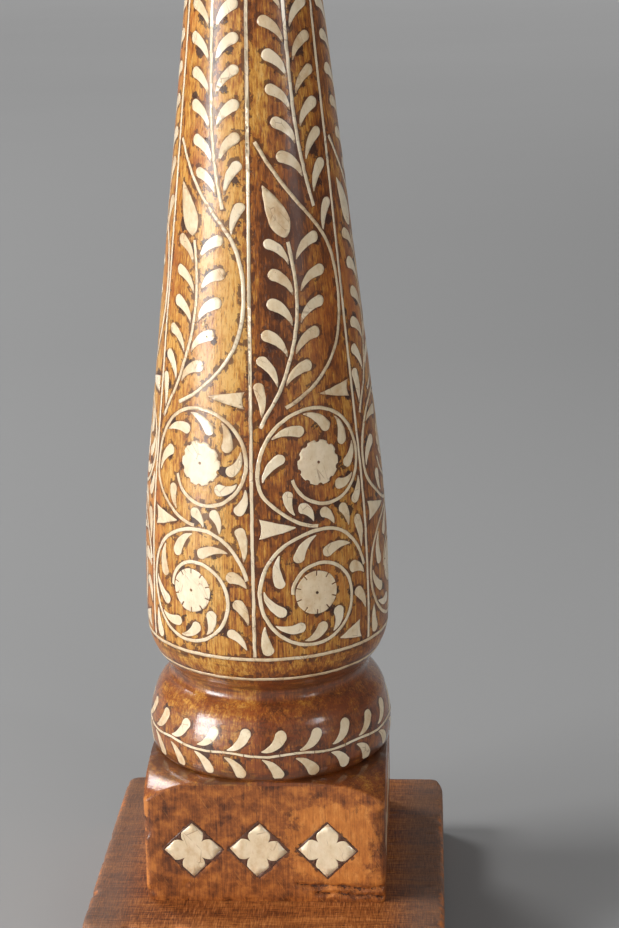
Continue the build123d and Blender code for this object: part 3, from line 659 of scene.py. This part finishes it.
def blots_of_leaf(points, share):
    """Filler beside the head of one leaf, mostly on its hollow side, and sometimes at its tip."""
    centre = points.mean(axis=0)
    axes = np.linalg.svd(points - centre, full_matrices=False)[2]
    length, width = (points - centre) @ axes[0], (points - centre) @ axes[1]
    reach = np.abs(length).max()
    spread = [np.abs(width[side * length > 0.55 * reach]).mean() for side in (-1, 1)]
    head = 1 if spread[1] > spread[0] else -1
    middle = width[np.abs(length) < 0.3 * reach]
    hollow = -1 if middle.size and middle.mean() > width.mean() else 1
    if chance.random() > share:
        return []
    place = head * reach * chance.uniform(0.15, 0.7)
    side = hollow if chance.random() < 0.75 else -hollow
    beside = side * np.abs(width).max() * chance.uniform(0.75, 1.15)
    spot = centre + axes[0] * place + axes[1] * beside
    blots = [(spot, chance.uniform(0.8, 1.9), chance.uniform(0.55, 1.0))]
    if chance.random() < 0.3:
        tip = centre + axes[0] * head * reach * 1.06
        blots.append((tip, chance.uniform(0.7, 1.3), chance.uniform(0.5, 0.9)))
    return blots


def rosette_blots(name):
    """Dark filler round the two rosettes of a panel."""
    points = mesh_points(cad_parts[name].data)
    blots = []
    middle = (points[:, 2].min() + points[:, 2].max()) / 2
    for disc in (points[points[:, 2] < middle], points[points[:, 2] >= middle]):
        centre = (disc.min(axis=0) + disc.max(axis=0)) / 2
        for _ in range(9):
            rim = disc[chance.integers(len(disc))]
            out = rim + (rim - centre) * 0.06
            blots.append((out, chance.uniform(0.6, 1.6), chance.uniform(0.3, 1.0)))
    return blots


def filler_round(points, blots):
    """How much filler there is at each point, from 0 to 1."""
    tree = KDTree(len(points))
    for index, point in enumerate(points):
        tree.insert(point, index)
    tree.balance()
    amount = np.zeros(len(points))
    for place, size, strength in blots:
        reach = size * FILLER_SPREAD * MM
        for _, index, distance in tree.find_range(place, reach):
            amount[index] = max(amount[index], strength * (1 - (distance / reach) ** 2))
    return amount


def column():
    """The whole column as one skin: wood turned a little out of true, with a worn, cracked block
    and shallow seats for its flowers."""
    heights, angles, radii, pocket = column_grid()
    rows = len(heights)
    turn = np.tile(angles, rows)
    level = np.repeat(heights, COLUMN_AROUND)
    radius, sunk = radii.ravel(), pocket.ravel()
    way = np.stack([np.sin(turn), -np.cos(turn), np.zeros(len(turn))], 1)
    points = way * radius[:, None]
    points[:, 2] = level
    foot = heights[0]
    rise = (level - foot) / MM
    in_block = rise < BLOCK_TOP_MM - BLOCK_SHOULDER_MM
    block, crack, bare = np.zeros(len(points)), np.zeros(len(points)), np.zeros(len(points))
    half = radius[0] / MM
    for quarter, places, out in faces_of_block(points):
        on_face = in_block & (out > half - 0.6) & (out < half + 0.4)
        block[on_face] = 1.0
        for line, width, depth in block_cracks(quarter):
            wander = rough_noise(points, 2.2, 30 + quarter) * 0.5
            split = eased(along(places, line) + wander, width, 0.0) * on_face
            crack = np.maximum(crack, split * depth)
        x, z, wide, tall = FRONT_BARE_PATCH if quarter == 0 else (
            chance.uniform(-25, 25), chance.uniform(10, 28), *SIDE_BARE_REACH)
        close = 1 - np.hypot((places[:, 0] - x) / wide, (places[:, 1] - z) / tall)
        bare = np.where(on_face, np.maximum(bare, np.clip(close + 0.45, 0, 1)), bare)
    corner = np.maximum(half - np.abs(points[:, 0]) / MM, half - np.abs(points[:, 1]) / MM)
    corner = eased(corner, 4.0, 0.0) * in_block
    chips = eased(rough_noise(points, (4.0, 4.0, 6.0), 5), 0.05, 0.75)
    inwards = corner * (0.25 + 1.0 * chips)
    inwards += eased(rise, 1.6, 0.0) * (0.3 + 0.5 * chips) * in_block
    inwards += crack
    lip = in_block & sunk
    inwards[lip] += POCKET_MM
    faces_rough = 0.09 * rough_noise(points, (8.0, 8.0, 6.0), 6) + 0.05 * rough_noise(points, 2.4, 7)
    inwards += np.where(in_block, faces_rough, 0.0)
    lift = np.where(in_block, 0.0, SKIN_MM * MM + wobble(points))
    solid = points + way * (lift - inwards * MM)[:, None]

    wear = corner * (0.5 + 0.5 * rough_noise(points, 7.0, 8)) * eased(points[:, 0] / MM, 20.0, -20.0)
    # Painted shade: the block's corners on the right, where its shaded side begins, are darkened; the
    # darkening goes in with the filler.
    painted_corner_shade = 0.70 + 0.5 * rough_noise(points, (6.0, 6.0, 9.0), 9)
    painted_corner_shade = corner * eased(points[:, 0] / MM, 10.0, 38.0) * painted_corner_shade

    tree = node_tree_of(BONE_SLIPS + BONE_SET_IN + FLOWERS)
    reach = NEAR_LIMIT_MM * MM
    near = np.full(len(points), reach)
    for index, point in enumerate(points):
        hit = tree.find_nearest(point, reach)
        if hit[3] is not None:
            near[index] = hit[3]
    blots = []
    for name in BONE_SLIPS:
        if "leaves" in name:
            blots += leaf_blots(name, 0.4 if name.startswith("band") else 0.72)
    for name in BONE_SET_IN:
        if "rosettes" in name:
            blots += rosette_blots(name)
    # Cracks and the painted corner shade darken the wood as filler does.
    cracks_and_painted_shade = np.maximum(np.minimum(crack * 1.3, 1), painted_corner_shade)
    filler_and_painted_shade = np.maximum(filler_round(points, blots), cracks_and_painted_shade)

    stain_and_painted_shading = 0.25 * rough_noise(points, (22.0, 22.0, 50.0), 12)
    degrees = (np.degrees(turn) + 180) % 360 - 180
    for angle, height, wide, tall, strength in STAINS:
        away = np.hypot(((degrees - angle + 180) % 360 - 180) / wide, (rise - height) / tall)
        stain_and_painted_shading += strength * eased(away, 1.3, 0.2)

    # Painted shading: the side right of the front, away from the lamps, is darker all the way up, and the
    # side left of the front, towards them, is lighter; the darker right side is partly the wood's own tone.
    painted_shade_side = eased(degrees, -4.0, 0.0) * eased(degrees, 84.0, 60.0)
    stain_and_painted_shading += np.where(rise > 84.0, 0.20 * painted_shade_side, 0.40 * painted_shade_side)
    stain_and_painted_shading += 0.30 * eased(rise, 86.0, 80.0)
    stain_and_painted_shading -= 0.25 * eased(degrees, 0.0, -6.0) * eased(degrees, -90.0, -60.0)
    grime = np.maximum.reduce([eased(np.abs(rise - centre), tall, 0.0) * strength
                               for centre, tall, strength in GRIME])
    grime = grime + 0.25 * rough_noise(points, (14.0, 14.0, 6.0), 13)
    gloss = 0.30 + 0.70 * eased(rise, 86.0, 78.0) - 0.12 * block

    index = np.arange(rows * COLUMN_AROUND).reshape(rows, COLUMN_AROUND)
    onwards = np.roll(index, -1, axis=1)
    quads = np.stack([index[:-1], onwards[:-1], onwards[1:], index[1:]], -1).reshape(-1, 4)
    low_cap, high_cap = len(solid), len(solid) + 1
    caps = [(low_cap, b, a) for a, b in zip(index[0], onwards[0])]
    caps += [(high_cap, a, b) for a, b in zip(index[-1], onwards[-1])]
    ends = [(0, 0, heights[0]), (0, 0, heights[-1])]
    mesh = bpy.data.meshes.new("column_turned")
    mesh.from_pydata(np.vstack([solid, ends]).tolist(), [], quads.tolist() + caps)
    for name, values in (("near", near / MM), ("filler_and_painted_shade", filler_and_painted_shade), ("stain_and_painted_shading", stain_and_painted_shading), ("block", block),
                         ("bare", bare), ("wear", wear), ("grime", grime), ("gloss", gloss)):
        store(mesh, name, np.append(values, [values[0], values[-1]]))
    mesh.shade_smooth()
    mesh.set_sharp_from_angle(angle=COLUMN_SHARP)
    return new_piece("column_turned", mesh, lacquered_wood(), ["column"])


# ---- bone, mastic and the other pieces -------------------------------------------------------

def carved(name, material, lift_mm, jag_mm, finest_mm=1.3):
    """A node's pieces as cut by hand: their outlines waver, and they follow the wood's surface."""
    mesh, shape = welded(name)
    for _ in range(9):
        long = [e for e in shape.edges if e.calc_length() > finest_mm * MM]
        if not long:
            break
        bmesh.ops.subdivide_edges(shape, edges=long, cuts=1)
    bmesh.ops.triangulate(shape, faces=shape.faces)
    shape.to_mesh(mesh)
    shape.free()
    points = mesh_points(mesh)
    if name.startswith("block_"):
        middle = points.mean(axis=0)
        side = np.argmax(np.abs(middle[:2]))
        out = np.zeros_like(points)
        out[:, side] = math.copysign(1, middle[side])
        follow = 0.0
    else:
        out = outwards(points)
        follow = wobble(points)
    jag = np.stack([rough_noise(points, 2.3, 60 + i) + 0.5 * rough_noise(points, 0.9, 70 + i)
                    for i in range(3)], 1)
    jag -= (jag * out).sum(axis=1)[:, None] * out
    lift = np.reshape(lift_mm * MM + follow, (-1, 1))
    set_points(mesh, points + jag * jag_mm * MM + out * lift)
    faces_out = np.empty(len(mesh.polygons) * 3)
    mesh.polygons.foreach_get("normal", faces_out)
    faces_out = faces_out.reshape(-1, 3)
    rim = np.zeros(len(points))
    for face in mesh.polygons:
        corners = list(face.vertices)
        if abs(faces_out[face.index] @ out[corners[0]]) < 0.6:
            rim[corners] = 1.0
    store(mesh, "rim", rim)
    mesh.shade_smooth()
    mesh.set_sharp_from_angle(angle=INLAY_SHARP)
    return new_piece(name + "_cut", mesh, material, [name])


def board():
    """The board with its saw marks, dents and worn edges; the holes for its screws stay."""
    mesh = remeshed("base_board", BOARD_VOXEL_MM * MM)
    points, normals = mesh_points(mesh), mesh_normals(mesh)
    low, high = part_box("base_board")
    centre, half = (np.array(low) + np.array(high)) / 2, (np.array(high) - np.array(low)) / 2
    inset = (half - np.abs(points - centre)) / MM
    ordered = np.sort(inset, axis=1)
    edge = eased(ordered[:, 0] + ordered[:, 1], 4.5, 0.6)
    chips = eased(rough_noise(points, (5.0, 5.0, 4.0), 21), 0.2, 0.8)
    worn = edge * (0.10 + 0.75 * chips)
    dents = eased(rough_noise(points, (7.0, 2.4, 2.4), 22), 0.55, 0.9) * 0.22
    saw = 0.05 * rough_noise(points, (2.4, 30.0, 8.0), 23) + 0.05 * rough_noise(points, (30.0, 2.4, 2.4), 24)
    wave = 0.12 * rough_noise(points, (30.0, 18.0, 18.0), 25)
    under = points[:, 2] < low.z + 1.5 * MM
    depth = np.where(under, 0.0, saw + np.minimum(wave, 0) - dents) - worn
    set_points(mesh, points + normals * (depth * MM)[:, None])
    store(mesh, "wear", edge * (0.42 + 0.38 * rough_noise(points, 9.0, 26)) + 0.18 * chips)
    return new_piece("board_sawn", mesh, sawn_board_wood(), ["base_board"])


def feet():
    """Felt pads with soft, slightly ragged rims."""
    mesh = remeshed("felt_feet", FELT_VOXEL_MM * MM)
    points, normals = mesh_points(mesh), mesh_normals(mesh)
    fuzz = 0.10 * rough_noise(points, 0.9, 31) + 0.08 * rough_noise(points, 3.0, 32) - 0.08
    held = np.minimum(fuzz, 0.0)
    set_points(mesh, points + normals * (held * MM)[:, None])
    return new_piece("felt_pads", mesh, green_felt(), ["felt_feet"])


def finish_node(name, material):
    """Gives a CAD node that keeps its shape its material."""
    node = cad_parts[name]
    node.data.materials.clear()
    node.data.materials.append(material)


# ---- stage, light and camera -----------------------------------------------------------------

FLOOR_REACH = 9.0
WALL_PLACE = 9.0
WALL_BEND = 2.0
WALL_TOP = 6.0
WALL_STEPS = 24
FLOOR_GAP = 0.0001
LAMP_TARGET = (0, 0, 0.18)
# How brightly the floor glows, by its distance behind the stick as a share of GLOW_FULL_MM
GLOW_FULL_MM = 6000.0
GLOW = (
    (0.15, 0.0), (0.19, 0.015), (0.24, 0.038), (0.31, 0.078), (0.41, 0.132), (0.57, 0.190), (0.88, 0.238),
)
WORLD_GREY, WORLD_STRENGTH = 0.8, 0.13

CAMERA_PLACE = (0.0560, -0.6845, 0.3624)
CAMERA_YAW, CAMERA_PITCH, CAMERA_ROLL = -0.0595, 0.2792, -0.0182
SENSOR = 36.0
FOCAL_SHARE = 2090.45 / 928


def stage():
    """A pale floor that curves up into the wall behind, lit from within far from the stick so that
    it looks equally bright all the way."""
    f = Finish("studio_floor")
    soft = f.noise(f.stretched((300.0, 300.0, 300.0)), 2.0)
    far = f.sum("DIVIDE", f.part_of("Y"), GLOW_FULL_MM)
    glow = f.ramp(far, tuple((place, (grey, grey, grey, 1.0)) for place, grey in GLOW))
    f.done(Base_Color=f.mix(f.sum("MULTIPLY", soft, 0.12), tint(161, 161, 161), tint(157, 157, 158)),
           Roughness=f.step(soft, 0.2, 0.8, 0.75, 0.85), Emission_Color=glow, Emission_Strength=1.0)
    profile = [(-FLOOR_REACH, 0.0), (WALL_PLACE, 0.0)]
    for step in range(1, WALL_STEPS + 1):
        turn = math.radians(90 * step / WALL_STEPS)
        profile.append((WALL_PLACE + WALL_BEND * math.sin(turn), WALL_BEND * (1 - math.cos(turn))))
    profile.append((WALL_PLACE + WALL_BEND, WALL_TOP))
    points = [(x, y, z - FLOOR_GAP) for y, z in profile for x in (-FLOOR_REACH, FLOOR_REACH)]
    faces = [(2 * i, 2 * i + 1, 2 * i + 3, 2 * i + 2) for i in range(len(profile) - 1)]
    mesh = bpy.data.meshes.new("studio_floor")
    mesh.from_pydata(points, [], faces)
    mesh.materials.append(f.material)
    mesh.shade_smooth()
    floor = bpy.data.objects.new("studio_floor", mesh)
    bpy.context.scene.collection.objects.link(floor)


def softbox(name, azimuth, elevation, distance, width, height, watts, in_gloss=True):
    """A rectangular lamp, azimuth degrees right of the front, that faces the stick. It can be
    kept out of glossy reflections."""
    a, e = math.radians(azimuth), math.radians(elevation)
    way = Vector((math.sin(a) * math.cos(e), -math.cos(a) * math.cos(e), math.sin(e)))
    lamp = bpy.data.lights.new(name, "AREA")
    lamp.shape = "RECTANGLE"
    lamp.size, lamp.size_y = width, height
    lamp.energy = watts
    holder = bpy.data.objects.new(name, lamp)
    holder.location = Vector(LAMP_TARGET) + way * distance
    holder.rotation_euler = way.to_track_quat("Z", "Y").to_euler()
    holder.visible_glossy = in_gloss
    bpy.context.scene.collection.objects.link(holder)


def light():
    world = bpy.data.worlds.new("studio")
    bpy.context.scene.world = world
    world.use_nodes = True
    world.node_tree.nodes["Background"].inputs["Color"].default_value = (*[WORLD_GREY] * 3, 1.0)
    world.node_tree.nodes["Background"].inputs["Strength"].default_value = WORLD_STRENGTH
    softbox("key", -80, 37, 4.0, 1.3, 1.3, 100, in_gloss=False)
    softbox("fill", 24, 12, 4.0, 1.9, 1.9, 50, in_gloss=False)
    softbox("strip", -60, 6, 2.5, 0.95, 0.95, 52)
    softbox("veil", -30, 8, 3.0, 2.1, 2.4, 9)
    softbox("spark", 51, 12, 2.0, 0.16, 0.16, 3.6)
    softbox("back", -128, 42, 2.5, 0.7, 0.7, 18)
    bpy.context.scene.view_settings.view_transform = "Standard"


def camera():
    """A view from the front, a little to the right, looking down on the stick."""
    yaw, pitch, roll = CAMERA_YAW, CAMERA_PITCH, CAMERA_ROLL
    ahead = Vector((math.sin(yaw) * math.cos(pitch), math.cos(yaw) * math.cos(pitch), -math.sin(pitch)))
    level = Vector((math.cos(yaw), -math.sin(yaw), 0))
    up = level.cross(ahead)
    right = level * math.cos(roll) + up * math.sin(roll)
    top = up * math.cos(roll) - level * math.sin(roll)
    data = bpy.data.cameras.new("camera")
    data.sensor_width = SENSOR
    data.lens = SENSOR * FOCAL_SHARE
    data.clip_start, data.clip_end = 0.05, 20.0
    holder = bpy.data.objects.new("camera", data)
    facing = Matrix((right, top, -ahead)).transposed().to_4x4()
    holder.matrix_world = Matrix.Translation(CAMERA_PLACE) @ facing
    bpy.context.scene.collection.objects.link(holder)
    bpy.context.scene.camera = holder


# ---- all of it -------------------------------------------------------------------------------

camera()
light()
stage()
column()
bone = polished_bone()
for slip in BONE_SLIPS:
    carved(slip, bone, -SLIP_SINK_MM, 0.12)
for piece in BONE_SET_IN:
    carved(piece, bone, -STRING_SINK_MM, 0.10)
for piece in FLOWERS:
    carved(piece, bone, FLOWER_RISE_MM, 0.16)
mastic = dark_mastic()
for piece in MASTICS:
    carved(piece, mastic, -MASTIC_SINK_MM, 0.05)
board()
feet()
brass = aged_brass()
finish_node("drip_pan", brass)
finish_node("candle_cup", brass)
steel = dull_steel()
finish_node("base_screws", steel)
finish_node("cup_screw", brass)
